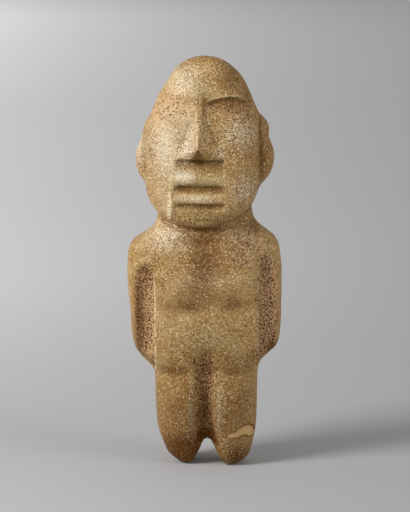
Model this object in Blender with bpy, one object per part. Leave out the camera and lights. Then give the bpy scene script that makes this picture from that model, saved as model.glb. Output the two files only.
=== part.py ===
# A standing figure carved from one piece of speckled stone.
#
# The figure looks along -Y, with +X to the viewer's right, +Z up and its soles on z = 0.
# It is carved as the real one is: a thick slab is rounded to its outline, the head is a blunt egg
# that overhangs the neck, and flat cuts and sawn grooves give the brow, nose, lips, arms and legs.

import math

import bmesh
import bpy
import numpy as np
from mathutils import Matrix, Vector

# The driving size, in metres, from the soles to the crown.
HEIGHT = 0.350

# The carving is in proportion to the height. One unit is a millimetre on a figure of 350 mm, whose crown
# is at this level, and all the sizes and levels below are in these units.
CROWN_LEVEL = 350.0
UNIT = HEIGHT / CROWN_LEVEL

# The viewer's left and right, as signs along X.
LEFT, RIGHT = -1, 1

# The stone.
STONE_COLOUR = (0.46, 0.33, 0.19, 1.0)
STONE_ROUGHNESS = 0.5

# Trunk: level, left edge, right edge, reach to the front, reach to the back, squareness.
TRUNK = (
    (0.0, -20.8, 28.8, 15.5, 16.0, 2.3),
    (2.2, -23.9, 31.8, 17.8, 18.2, 2.3),
    (5.5, -27.4, 35.6, 19.6, 19.8, 2.3),
    (12.4, -33.0, 40.1, 21.4, 21.4, 2.4),
    (19.3, -36.2, 42.2, 22.4, 22.2, 2.4),
    (33.0, -40.4, 44.2, 24.4, 24.2, 2.5),
    (57.0, -42.0, 45.2, 26.2, 26.6, 2.6),
    (80.0, -42.6, 45.2, 27.2, 28.6, 2.7),
    (86.0, -45.6, 46.4, 27.5, 28.8, 2.8),
    (92.0, -52.2, 49.2, 27.8, 28.8, 2.9),
    (98.0, -57.8, 56.4, 28.2, 28.6, 3.0),
    (104.0, -60.4, 62.2, 28.5, 28.3, 3.0),
    (114.0, -62.0, 64.2, 28.9, 28.0, 3.1),
    (133.0, -63.4, 65.6, 28.6, 28.4, 3.1),
    (166.0, -65.8, 65.8, 28.4, 29.4, 3.1),
    (184.0, -64.9, 64.3, 25.6, 28.6, 2.9),
    (192.0, -62.2, 62.0, 23.6, 27.6, 2.8),
    (196.5, -57.6, 58.8, 22.4, 26.8, 2.7),
    (202.0, -47.0, 52.0, 20.8, 25.8, 2.5),
    (208.0, -41.6, 44.6, 19.6, 24.8, 2.4),
    (215.0, -40.2, 40.9, 18.6, 24.6, 2.3),
    (236.0, -37.0, 37.0, 16.0, 26.5, 2.2),
)

# Head, without ears: level, half width, reach to the front, reach to the back, squareness.
HEAD = (
    (207.6, 9.0, 24.4, -9.0, 2.2),
    (209.4, 17.5, 26.9, -2.0, 2.3),
    (212.2, 25.5, 28.8, 4.0, 2.4),
    (216.4, 33.6, 30.0, 10.0, 2.5),
    (221.5, 39.6, 30.6, 16.0, 2.7),
    (228.5, 43.9, 30.8, 23.0, 2.8),
    (242.0, 48.6, 30.6, 30.0, 2.9),
    (256.0, 50.2, 30.2, 33.2, 2.9),
    (272.0, 50.3, 29.8, 34.6, 2.8),
    (286.0, 49.2, 29.6, 34.8, 2.7),
    (298.0, 46.6, 29.4, 34.2, 2.6),
    (308.0, 43.0, 28.8, 33.0, 2.5),
    (318.0, 38.8, 27.2, 31.0, 2.4),
    (328.0, 34.2, 24.6, 28.0, 2.3),
    (336.0, 29.0, 21.2, 24.2, 2.2),
    (342.5, 22.2, 16.6, 18.8, 2.1),
    (347.0, 15.0, 11.4, 12.6, 2.0),
    (349.3, 7.6, 5.8, 6.4, 2.0),
)
HEAD_TURN = math.radians(-8.0)
JAW_SHIFT = -2.2
JAW_SHIFT_FOOT = 226.0
JAW_SHIFT_TOP = 262.0

# The gaps between the levels above are filled with rings no further apart than this.
RING_STEP = 7.0
SAMPLES_ROUND = 720

# Columns round the trunk and the head, and how far they crowd together over the middle of the front.
TRUNK_GRID = {"columns": 54, "crowd": 1.5, "crowd_width": 18.0}
HEAD_GRID = {"columns": 54, "crowd": 1.2, "crowd_width": 40.0}
EAR_GRID = {"columns": 20, "crowd": 0.0, "crowd_width": 1.0}

# Legs: level, middle of the groove between them, half width, depth in front, depth behind.
LEG_GROOVE = (
    (0.0, 3.0, 13.0, 13.0, 9.0),
    (12.0, 2.6, 12.0, 13.6, 9.0),
    (24.0, 2.0, 10.8, 13.4, 8.4),
    (36.0, 1.4, 9.8, 11.4, 7.0),
    (52.0, 1.0, 8.2, 9.2, 4.6),
    (70.0, 0.8, 7.6, 7.2, 2.6),
    (88.0, 0.4, 8.6, 4.8, 0.8),
    (97.0, 0.2, 8.6, 3.0, 0.0),
    (107.0, 0.0, 7.4, 0.0, 0.0),
)
GROOVE_SQUARENESS = 2.8
FOOT_TURN = math.radians(-7.0)
FOOT_TURN_TOP = 70.0

# Soft forms, in front and behind: across, up, spread across, spread up, rise.
FRONT_FORMS = {
    "left_breast": (-20.0, 161.0, 17.0, 15.0, 3.2),
    "right_breast": (26.0, 162.0, 15.0, 15.0, 3.2),
    "breastbone_hollow": (2.5, 176.0, 9.0, 24.0, -2.6),
    "hollow_under_left_breast": (-11.0, 138.5, 15.0, 6.0, -2.8),
    "hollow_under_right_breast": (24.0, 139.5, 12.0, 6.0, -2.5),
    "belly": (-2.0, 113.0, 30.0, 15.0, 2.9),
    "left_hip_crease": (-24.0, 83.0, 17.0, 5.5, -3.2),
    "right_hip_crease": (26.0, 85.0, 16.0, 5.5, -2.8),
    "left_thigh": (-26.5, 62.0, 12.0, 18.0, 2.2),
    "right_thigh": (28.5, 61.0, 12.0, 18.0, 2.2),
    "left_inner_ridge": (-11.0, 44.0, 3.6, 26.0, 1.2),
    "right_inner_ridge": (13.4, 44.0, 3.6, 26.0, 1.2),
}
BACK_FORMS = {
    "spine": (0.0, 150.0, 7.0, 42.0, -1.6),
    "left_shoulder_blade": (-28.0, 168.0, 18.0, 18.0, 1.2),
    "right_shoulder_blade": (28.0, 168.0, 18.0, 18.0, 1.2),
    "waist": (0.0, 112.0, 34.0, 12.0, -1.4),
    "seat": (1.0, 82.0, 30.0, 13.0, 1.6),
}

# Gap between the feet: half widths, from the top of the arch down to below the soles.
FOOT_GAP_MIDDLE = 2.6
FOOT_GAP = (
    (22.4, 1.6),
    (21.3, 2.9),
    (18.2, 4.8),
    (13.0, 6.8),
    (8.6, 8.8),
    (4.3, 11.7),
    (1.0, 14.4),
    (-4.0, 17.0),
)

# Arms: the pecked trough that parts each one from the chest.
LEFT_TROUGH = {"middle": -50.2, "half_width": 9.2, "top": 176.0}
RIGHT_TROUGH = {"middle": 52.2, "half_width": 9.2, "top": 184.0}
TROUGH_DEPTH = 5.2
TROUGH_PROUD = 0.4
TROUGH_END = 74.0
TROUGH_SLANT = math.radians(26.0)

# Ears: a flange on each side of the head, notched into two lobes, as level, reach, half thickness.
EAR = (
    (239.5, 46.0, 4.0),
    (242.5, 49.2, 7.0),
    (248.0, 54.2, 9.6),
    (255.0, 58.0, 11.4),
    (263.0, 59.6, 12.0),
    (271.0, 58.6, 11.8),
    (277.5, 56.2, 11.0),
    (282.5, 54.0, 10.4),
    (286.0, 54.6, 10.0),
    (290.5, 55.0, 9.4),
    (295.0, 53.0, 8.4),
    (299.0, 49.6, 6.6),
    (302.0, 45.6, 4.0),
)
EAR_ROOT = 38.0
EAR_SET_BACK = 1.5
EAR_DROP = {LEFT: 2.6, RIGHT: -0.6}
EAR_SQUARENESS = 2.4

# Face: sizes are taken on the head before it is turned.
BROW_LEVEL = 315.2
BROW_ARCH = 2.0
BROW_UNDERCUT = 0.8
EYE_HOLLOW_FOOT = 293.0
EYE_HOLLOW_DEPTH = {LEFT: 2.7, RIGHT: 3.8}
EYE_HOLLOW_INNER = math.radians(6.5)
EYE_HOLLOW_OUTER = math.radians(78.0)
EYE_HOLLOW_RUN_OUT = 1.3
EYE_STATIONS = 11
EYE_ROWS = 5

NOSE_ROOT_LEVEL = 312.0
NOSE_TIP_LEVEL = 275.0
NOSE_BASE_LEVEL = 266.0
NOSE_RISE = 9.2
NOSE_BASE_RISE = 3.0
NOSE_HALF_WIDTH = 19.6
NOSE_TIP_CHAMFER = 8.4
NOSE_ROOT_WIDTH = 2.4
NOSE_PROUD = 0.3

# Mouth: a sunk panel with three sawn steps, as level and depth down its profile. The deep points lie
# under the nose and under each lip, the shallow ones along the lips' edges and the chin.
MOUTH_HALF_WIDTH = 21.0
MOUTH_TOP = 267.4
MOUTH_PROFILE = (
    (265.2, 5.0),
    (261.0, 3.0),
    (255.6, 1.2),
    (248.2, 0.4),
    (245.4, 0.9),
    (240.8, 3.8),
    (236.8, 1.6),
    (230.8, 0.5),
    (228.4, 1.0),
    (225.0, 3.4),
    (221.6, 1.4),
    (217.2, 0.5),
    (213.4, -2.0),
)
MOUTH_STATIONS = 11

# Towards its two ends the panel grows shallow: the share of its depth left there, and where that begins.
MOUTH_END_DEPTH = {LEFT: 0.1, RIGHT: 0.25}
MOUTH_END_EASE = 8.0

# How far a cutter stands clear of the stone that it cuts.
CLEAR = 6.0


def smooth_through(table, levels):
    """Each column of the table at the given levels, on smooth curves that never overshoot its rows."""
    table = np.array(table, float)
    at, values = table[:, 0], table[:, 1:]
    step = np.diff(at)[:, None]
    slope = np.diff(values, axis=0) / step
    tangent = np.zeros_like(values)
    tangent[0], tangent[-1] = slope[0], slope[-1]
    before, after = slope[:-1], slope[1:]
    same_way = before * after > 0
    weight_before = 2 * step[1:] + step[:-1]
    weight_after = step[1:] + 2 * step[:-1]
    with np.errstate(divide="ignore", invalid="ignore"):
        mean = (weight_before + weight_after) / (weight_before / before + weight_after / after)
    tangent[1:-1] = np.where(same_way, mean, 0.0)
    levels = np.clip(levels, at[0], at[-1])
    row = np.clip(np.searchsorted(at, levels, side="right") - 1, 0, len(at) - 2)
    span = (at[row + 1] - at[row])[:, None]
    t = (levels[:, None] - at[row][:, None]) / span
    start, end = values[row], values[row + 1]
    leave, arrive = tangent[row] * span, tangent[row + 1] * span
    return (
        start * (2 * t**3 - 3 * t**2 + 1)
        + leave * (t**3 - 2 * t**2 + t)
        + end * (3 * t**2 - 2 * t**3)
        + arrive * (t**3 - t**2)
    )


def ring_levels(table):
    """The table's own levels, with the longer gaps between them filled evenly."""
    at = [row[0] for row in table]
    levels = [at[0]]
    for low, high in zip(at, at[1:]):
        count = math.ceil((high - low) / RING_STEP)
        levels += [low + (high - low) * (k + 1) / count for k in range(count)]
    return np.array(levels)


def rounded_section(middle, half_width, front, back, squareness, grid):
    """Points round one level, from the middle of the back. They crowd together in front, where the carving is."""
    angle = np.linspace(0, 2 * math.pi, SAMPLES_ROUND + 1)
    power = 2 / squareness
    across = -np.sign(np.sin(angle)) * np.abs(np.sin(angle)) ** power * half_width
    deep = np.sign(np.cos(angle)) * np.abs(np.cos(angle)) ** power
    centre = (back - front) / 2
    deep = centre + deep * (back + front) / 2
    length = np.hypot(np.diff(across), np.diff(deep))
    inside = (across[1:] + across[:-1]) / 2
    in_front = (deep[1:] + deep[:-1]) / 2 < centre
    crowd = 1 + grid["crowd"] * in_front * np.exp(-((inside / grid["crowd_width"]) ** 2))
    run = np.concatenate([[0], np.cumsum(length * crowd)])
    places = np.linspace(0, run[-1], grid["columns"], endpoint=False)
    return np.interp(places, run, across) + middle, np.interp(places, run, deep), centre


def forms_at(forms, across, level):
    """How far the soft forms raise the surface there."""
    return sum(
        rise * np.exp(-(((across - x) / wide) ** 2) - ((level - up) / tall) ** 2)
        for x, up, wide, tall, rise in forms.values()
    )


def turned(across, deep, angle):
    return (
        across * math.cos(angle) - deep * math.sin(angle),
        across * math.sin(angle) + deep * math.cos(angle),
    )


def trunk_rings():
    levels = ring_levels(TRUNK)
    grooves = smooth_through(LEG_GROOVE, levels)
    rings = []
    for level, row, groove in zip(levels, smooth_through(TRUNK, levels), grooves):
        left, right, front, back, squareness = row
        groove_middle, groove_half_width, depth_in_front, depth_behind = groove
        across, deep, centre = rounded_section(
            (left + right) / 2, (right - left) / 2, front, back, squareness, TRUNK_GRID
        )
        facing = (deep - centre) / ((front + back) / 2)
        valley = np.exp(-(np.abs((across - groove_middle) / groove_half_width) ** GROOVE_SQUARENESS))
        rise_in_front = forms_at(FRONT_FORMS, across, level) - depth_in_front * valley
        rise_behind = forms_at(BACK_FORMS, across, level) - depth_behind * valley
        deep = deep + np.where(facing < 0, facing * rise_in_front, facing * rise_behind)
        share = min(max(1 - level / FOOT_TURN_TOP, 0.0), 1.0)
        across, deep = turned(across, deep, FOOT_TURN * share * share * (3 - 2 * share))
        rings.append([(x, y, level) for x, y in zip(across, deep)])
    return rings


def head_rings():
    levels = ring_levels(HEAD)
    rings = []
    for level, row in zip(levels, smooth_through(HEAD, levels)):
        half_width, front, back, squareness = row
        share = min(max((JAW_SHIFT_TOP - level) / (JAW_SHIFT_TOP - JAW_SHIFT_FOOT), 0.0), 1.0)
        middle = JAW_SHIFT * share * share * (3 - 2 * share)
        across, deep, _ = rounded_section(middle, half_width, front, back, squareness, HEAD_GRID)
        rings.append([(x, y, level) for x, y in zip(across, deep)])
    return rings


def face_depth(across, level):
    """Where the front of the head lies, before the face is cut into it."""
    half_width, front, back, squareness = smooth_through(HEAD, np.array([level]))[0]
    centre = (back - front) / 2
    share = max(1 - abs(across / half_width) ** squareness, 0.0)
    return centre - (front + back) / 2 * share ** (1 / squareness)


def beside_head(side, around, level, out):
    """The point at an angle round from the middle of the face, and so far out from the head's surface."""
    half_width, front, back, squareness = smooth_through(HEAD, np.array([level]))[0]
    power = 2 / squareness
    centre = (back - front) / 2
    x = half_width * math.sin(around) ** power
    y = -(front + back) / 2 * math.cos(around) ** power
    stretch = 1 + out / math.hypot(x, y)
    return side * x * stretch, centre + y * stretch, level


def solid(name, points, faces, turn=0.0):
    """One closed mesh, from points in units, turned about the upright axis."""
    shape = bmesh.new()
    spin = Matrix.Rotation(turn, 3, "Z")
    corners = [shape.verts.new(spin @ Vector(p) * UNIT) for p in points]
    for face in faces:
        shape.faces.new([corners[i] for i in face])
    bmesh.ops.recalc_face_normals(shape, faces=shape.faces)
    return finished(name, shape)


def finished(name, shape):
    mesh = bpy.data.meshes.new(name)
    shape.to_mesh(mesh)
    shape.free()
    piece = bpy.data.objects.new(name, mesh)
    bpy.context.scene.collection.objects.link(piece)
    return piece


def lofted(name, rings, turn=0.0, pole=None):
    """A closed skin over rings of equally many points, its ends closed flat or drawn in to a pole."""
    count = len(rings[0])
    points = [p for ring in rings for p in ring]
    faces = [
        (r * count + c, r * count + (c + 1) % count, (r + 1) * count + (c + 1) % count, (r + 1) * count + c)
        for r in range(len(rings) - 1)
        for c in range(count)
    ]
    faces.append(tuple(reversed(range(count))))
    last = (len(rings) - 1) * count
    if pole is None:
        faces.append(tuple(last + c for c in range(count)))
    else:
        points.append(pole)
        faces += [(last + c, last + (c + 1) % count, len(points) - 1) for c in range(count)]
    return solid(name, points, faces, turn)


def hull(name, points, turn=0.0):
    shape = bmesh.new()
    spin = Matrix.Rotation(turn, 3, "Z")
    for p in points:
        shape.verts.new(spin @ Vector(p) * UNIT)
    bmesh.ops.convex_hull(shape, input=shape.verts)
    bmesh.ops.delete(shape, geom=[v for v in shape.verts if not v.link_faces], context="VERTS")
    bmesh.ops.recalc_face_normals(shape, faces=shape.faces)
    return finished(name, shape)


def ellipsoid(name, centre, radii, turn=0.0, stretch_down=0.0, slant=0.0, rings=14, columns=20):
    """An ellipsoid whose lower half can be drawn downwards, as a capsule is."""
    shape = bmesh.new()
    bmesh.ops.create_uvsphere(shape, u_segments=columns, v_segments=rings, radius=1.0)
    for v in shape.verts:
        v.co = Vector((v.co.x * radii[0], v.co.y * radii[1], v.co.z * radii[2]))
        if v.co.z < -1e-6:
            v.co.z -= stretch_down
    placed = Matrix.Rotation(turn, 4, "Z") @ Matrix.Translation(centre) @ Matrix.Rotation(slant, 4, "Z")
    bmesh.ops.transform(shape, matrix=placed, verts=shape.verts)
    bmesh.ops.scale(shape, vec=(UNIT, UNIT, UNIT), verts=shape.verts)
    bmesh.ops.recalc_face_normals(shape, faces=shape.faces)
    return finished(name, shape)


def eye_hollow(side):
    """The space under one brow: a step back under the brow's edge that runs out down the cheek."""
    sections = []
    for share in np.linspace(0.0, 1.0, EYE_STATIONS):
        around = EYE_HOLLOW_INNER + (EYE_HOLLOW_OUTER - EYE_HOLLOW_INNER) * share
        brow = BROW_LEVEL + BROW_ARCH * math.sin(math.pi * share)
        fade = 1 - share**3
        floor = []
        for down in np.linspace(0.0, 1.0, EYE_ROWS):
            level = brow + (EYE_HOLLOW_FOOT - brow) * down
            depth = EYE_HOLLOW_DEPTH[side] * fade * (1 - down)
            depth -= EYE_HOLLOW_RUN_OUT * max(down, 1 - fade)
            floor.append(beside_head(side, around, level, -depth))
        outer = [
            beside_head(side, around, EYE_HOLLOW_FOOT, CLEAR),
            beside_head(side, around, brow + BROW_UNDERCUT, CLEAR),
        ]
        sections.append(floor + outer)
    return lofted("cut_eye_hollow", sections, HEAD_TURN)


def mouth():
    """The sunk panel from the nose down over the chin, with its three steps, as one cutter."""
    foot = MOUTH_PROFILE[-1][0]
    sections = []
    for across in np.linspace(-math.pi / 2, math.pi / 2, MOUTH_STATIONS):
        x = MOUTH_HALF_WIDTH * math.sin(across)
        inward = min((MOUTH_HALF_WIDTH - abs(x)) / MOUTH_END_EASE, 1.0)
        end_depth = MOUTH_END_DEPTH[RIGHT if x > 0 else LEFT]
        share = end_depth + (1 - end_depth) * math.sin(inward * math.pi / 2)
        inner = [(x, face_depth(x, z) + depth * share, z) for z, depth in MOUTH_PROFILE]
        outer = [(x, face_depth(x, z) - CLEAR - NOSE_RISE, z) for z in (foot, MOUTH_TOP)]
        sections.append(inner + outer)
    return lofted("cut_mouth", sections, HEAD_TURN)


def nose():
    """A wedge with a straight ridge, flat sides and a small slanting face under its tip."""
    base = face_depth(0.0, NOSE_BASE_LEVEL)
    corner = face_depth(NOSE_HALF_WIDTH, NOSE_BASE_LEVEL)
    root = face_depth(0.0, NOSE_ROOT_LEVEL)
    inside = root / 2
    points = [(0.0, base - NOSE_RISE, NOSE_TIP_LEVEL)]
    for side in (LEFT, RIGHT):
        points += [
            (side * NOSE_ROOT_WIDTH, root - NOSE_PROUD, NOSE_ROOT_LEVEL),
            (side * NOSE_TIP_CHAMFER, base - NOSE_BASE_RISE, NOSE_BASE_LEVEL),
            (side * NOSE_HALF_WIDTH, corner - NOSE_PROUD, NOSE_BASE_LEVEL),
            (side * NOSE_HALF_WIDTH, inside, NOSE_BASE_LEVEL),
            (side * NOSE_ROOT_WIDTH, inside, NOSE_ROOT_LEVEL),
        ]
    return hull("add_nose", points, HEAD_TURN)


def ear(side):
    rings = []
    for level, reach, half_thickness in EAR:
        middle, half_width = (reach + EAR_ROOT) / 2, (reach - EAR_ROOT) / 2
        across, deep, _ = rounded_section(
            middle, half_width, half_thickness, half_thickness, EAR_SQUARENESS, EAR_GRID
        )
        level -= EAR_DROP[side]
        rings.append([(side * x, y + EAR_SET_BACK, level) for x, y in zip(across, deep)])
    return lofted("add_ear", rings, HEAD_TURN)


def arm_trough(side, trough):
    """A long round-ended trough, open below at the elbow, lying on the slant of the arm's front."""
    level = trough["top"] - trough["half_width"]
    left, right, front, back, squareness = smooth_through(TRUNK, np.array([level]))[0]
    share = abs((trough["middle"] - (left + right) / 2) / ((right - left) / 2))
    surface = (back - front) / 2 - (front + back) / 2 * (1 - share**squareness) ** (1 / squareness)
    return ellipsoid(
        "cut_arm_trough",
        (trough["middle"], surface - TROUGH_PROUD, level),
        (trough["half_width"], TROUGH_DEPTH, trough["half_width"]),
        stretch_down=level - TROUGH_END,
        slant=side * TROUGH_SLANT,
        columns=24,
    )


def foot_gap():
    front = max(row[3] for row in TRUNK) + CLEAR
    back = max(row[4] for row in TRUNK) + CLEAR
    outline = [(FOOT_GAP_MIDDLE + half, z) for z, half in FOOT_GAP]
    outline += [(FOOT_GAP_MIDDLE - half, z) for z, half in reversed(FOOT_GAP)]
    return lofted("cut_foot_gap", [[(x, y, z) for x, z in outline] for y in (-front, back)])


def stone():
    material = bpy.data.materials.new("speckled_stone")
    material.use_nodes = True
    shader = material.node_tree.nodes["Principled BSDF"]
    shader.inputs["Base Color"].default_value = STONE_COLOUR
    shader.inputs["Roughness"].default_value = STONE_ROUGHNESS
    shader.inputs["Metallic"].default_value = 0.0
    return material


def work_with(figure, piece, operation, frame):
    """Joins a piece to the stone, or cuts it out, and keeps it as a hidden guide."""
    change = figure.modifiers.new(piece.name, "BOOLEAN")
    change.operation = operation
    change.object = piece
    piece.hide_render = True
    piece.display_type = "WIRE"
    piece.parent = frame


def stand_on_middle(figure, frame):
    """Moves the whole carving so that the upright axis runs through the middle of its box."""
    bpy.context.view_layer.update()
    carved = figure.evaluated_get(bpy.context.evaluated_depsgraph_get())
    corners = np.array([carved.matrix_world @ Vector(c) for c in carved.bound_box])
    middle = (corners.min(axis=0) + corners.max(axis=0)) / 2
    frame.location = (-middle[0], -middle[1], 0.0)


def main():
    for old in list(bpy.data.objects):
        bpy.data.objects.remove(old)
    frame = bpy.data.objects.new("figure_frame", None)
    bpy.context.scene.collection.objects.link(frame)

    figure = lofted("standing_figure", trunk_rings())
    figure.parent = frame
    figure.data.materials.append(stone())

    added = [lofted("add_head", head_rings(), HEAD_TURN, pole=(0.0, 0.0, CROWN_LEVEL))]
    added.append(nose())
    added += [ear(side) for side in (LEFT, RIGHT)]
    cut = [eye_hollow(side) for side in (LEFT, RIGHT)]
    cut.append(mouth())
    cut += [arm_trough(LEFT, LEFT_TROUGH), arm_trough(RIGHT, RIGHT_TROUGH), foot_gap()]
    for piece in added:
        work_with(figure, piece, "UNION", frame)
    for piece in cut:
        work_with(figure, piece, "DIFFERENCE", frame)
    stand_on_middle(figure, frame)


main()
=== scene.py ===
import math

import bpy
import numpy as np
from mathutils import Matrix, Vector, noise
from mathutils.kdtree import KDTree


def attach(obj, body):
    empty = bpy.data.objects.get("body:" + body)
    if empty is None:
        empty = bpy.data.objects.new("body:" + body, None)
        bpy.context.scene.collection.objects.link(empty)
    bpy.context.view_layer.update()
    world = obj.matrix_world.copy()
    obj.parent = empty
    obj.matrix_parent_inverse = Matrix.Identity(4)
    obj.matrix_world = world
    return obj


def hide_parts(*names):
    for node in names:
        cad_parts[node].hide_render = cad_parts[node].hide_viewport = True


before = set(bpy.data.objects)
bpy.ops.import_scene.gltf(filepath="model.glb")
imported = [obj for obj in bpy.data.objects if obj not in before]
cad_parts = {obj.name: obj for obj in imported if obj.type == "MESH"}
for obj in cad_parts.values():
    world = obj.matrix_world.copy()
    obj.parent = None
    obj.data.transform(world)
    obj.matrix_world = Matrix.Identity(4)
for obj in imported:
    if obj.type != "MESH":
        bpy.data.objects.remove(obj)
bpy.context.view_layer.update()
mm = 0.001
print("the packed figure is loaded")


# Camera: a long lens from a little above, square to the figure
photoView = {
    "distance": 2.0,
    "lookDown": math.radians(10.0),
    "aim": Vector((0.0004, 0.0, 0.1797)),
    "heightSeen": 0.4346,  # of the figure's own plane, from the picture's foot to its top
    "sensor": 36.0,
}


def addCamera(values):
    away = Vector((0, -math.cos(values["lookDown"]), math.sin(values["lookDown"])))
    turn = (math.pi / 2 - values["lookDown"], 0, 0)
    bpy.ops.object.camera_add(location=values["aim"] + away * values["distance"], rotation=turn)
    camera = bpy.context.object
    camera.name = "studioCamera"
    camera.data.sensor_fit = "VERTICAL"
    camera.data.sensor_height = values["sensor"]
    camera.data.lens = values["sensor"] * values["distance"] / values["heightSeen"]
    bpy.context.scene.camera = camera


addCamera(photoView)
print("the camera stands")


# Shader maths: a wrapped socket adds Math nodes when it is used in an expression
class Wire:
    tree = None  # the node tree that is being wired

    def __init__(self, socket):
        self.socket = socket

    def __add__(self, other):
        return Wire.maths("ADD", self, other)

    def __sub__(self, other):
        return Wire.maths("SUBTRACT", self, other)

    def __rsub__(self, other):
        return Wire.maths("SUBTRACT", other, self)

    def __mul__(self, other):
        return Wire.maths("MULTIPLY", self, other)

    __radd__ = __add__

    @staticmethod
    def maths(operation, first, second):
        return Wire.node("ShaderNodeMath", {"operation": operation}, {0: first, 1: second})

    @staticmethod
    def node(kind, settings, values, out=0):
        made = Wire.tree.nodes.new(kind)
        for name, setting in settings.items():
            setattr(made, name, setting)
        for name, value in values.items():
            if isinstance(value, Wire):
                Wire.tree.links.new(value.socket, made.inputs[name])
            else:
                made.inputs[name].default_value = value
        return Wire(made.outputs[out]) if len(made.outputs) else None


def between(value, low, high):  # 0 below low, 1 above high, smooth between
    settings = {"interpolation_type": "SMOOTHSTEP", "clamp": True}
    return Wire.node("ShaderNodeMapRange", settings, {0: value, 1: low, 2: high, 3: 0.0, 4: 1.0})


def tint(amount, first, second):  # mixes two colours, first where the amount is 0
    settings = {"data_type": "RGBA", "clamp_factor": True}
    return Wire.node("ShaderNodeMix", settings, {0: amount, 6: first, 7: second}, out=2)


def cloud(spot, scale, detail, rough):
    values = {"Vector": spot, "Scale": scale, "Detail": detail, "Roughness": rough}
    return Wire.node("ShaderNodeTexNoise", {}, values)


def grains(spot, kind, more=0.0):
    # 1 in the middle of each picked grain, 0 outside it; more are picked where more is higher
    moved = Wire.node("ShaderNodeVectorMath", {"operation": "ADD"}, {0: spot, 1: kind["moved"]})
    values = {"Vector": moved, "Scale": kind["count"]}
    colour = Wire.node("ShaderNodeTexVoronoi", {}, values, out="Color")
    choice = Wire.node("ShaderNodeSeparateColor", {}, {0: colour})
    far = Wire.node("ShaderNodeTexVoronoi", {}, values, out="Distance")
    return (1 - between(far, *kind["rim"])) * between(choice + more, *kind["pick"])


def kept(name):  # a number that the mesh keeps at its points
    return Wire.node("ShaderNodeAttribute", {"attribute_name": name}, {}, out="Fac")


# The carved figure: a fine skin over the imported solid, in millimetres where nothing else is said
carving = {
    "piece": "carvedFigure",
    "crease": math.radians(24),  # edges sharper than this stay sharp while the facets are rounded
    "joined": 0.02,  # points closer than this are one
    "quadBend": math.radians(14),
    "quadSkew": math.radians(60),
    "roundings": 2,
    "voxel": 1.9,
    "leastWeight": 0.001,  # points that weigh less stay out of a group
    "edgeCore": 0.6,  # this close to a crisp edge nothing is smoothed
    "edgeBand": 1.2,  # this close to it the faces are cut finer and lie on the solid again
    "edgeReach": 3.4,  # how far a crisp edge holds back the smoothing
    "mouthHeld": 0.85,  # how far the mouth's steps are held back from the smoothing
    "mouthFade": 3,
    "smoothing": 9,
    "edgeWear": 1,
    "unevenness": 0.8,
    "unevenSize": 17.0,
    "unevenFrom": (1.0, 14.0),  # it sets in between these heights
    "frontTurn": (-0.25, 0.15),  # how far the skin turns to the front where the carving fades in
    "fineCuts": 3,
    "fineFrom": 0.5,  # how coarsely the stone is pecked where the skin is cut finer
    "fineRough": 0.45,  # and how rough it is there at least
    "fineRise": 0.3,  # how far a tooled line stands out or sinks where the skin is cut finer
    "fineWidth": 2.3,  # and its widest half width
    "fineReach": 1.3,  # how far to each side of the line, in half widths
}

# Where the carver's edges are still crisp: left, right, foot and top of each place
crispPlaces = {
    "nose": (-28.0, 22.0, 250.0, 302.0),
    "mouth": (-28.0, 22.0, 216.0, 270.0),
    "rightBrow": (7.0, 40.0, 308.0, 321.0),
    "leftTrough": (-46.0, -38.0, 78.0, 164.0),
    "rightTrough": (40.0, 48.0, 100.0, 150.0),
}

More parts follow.
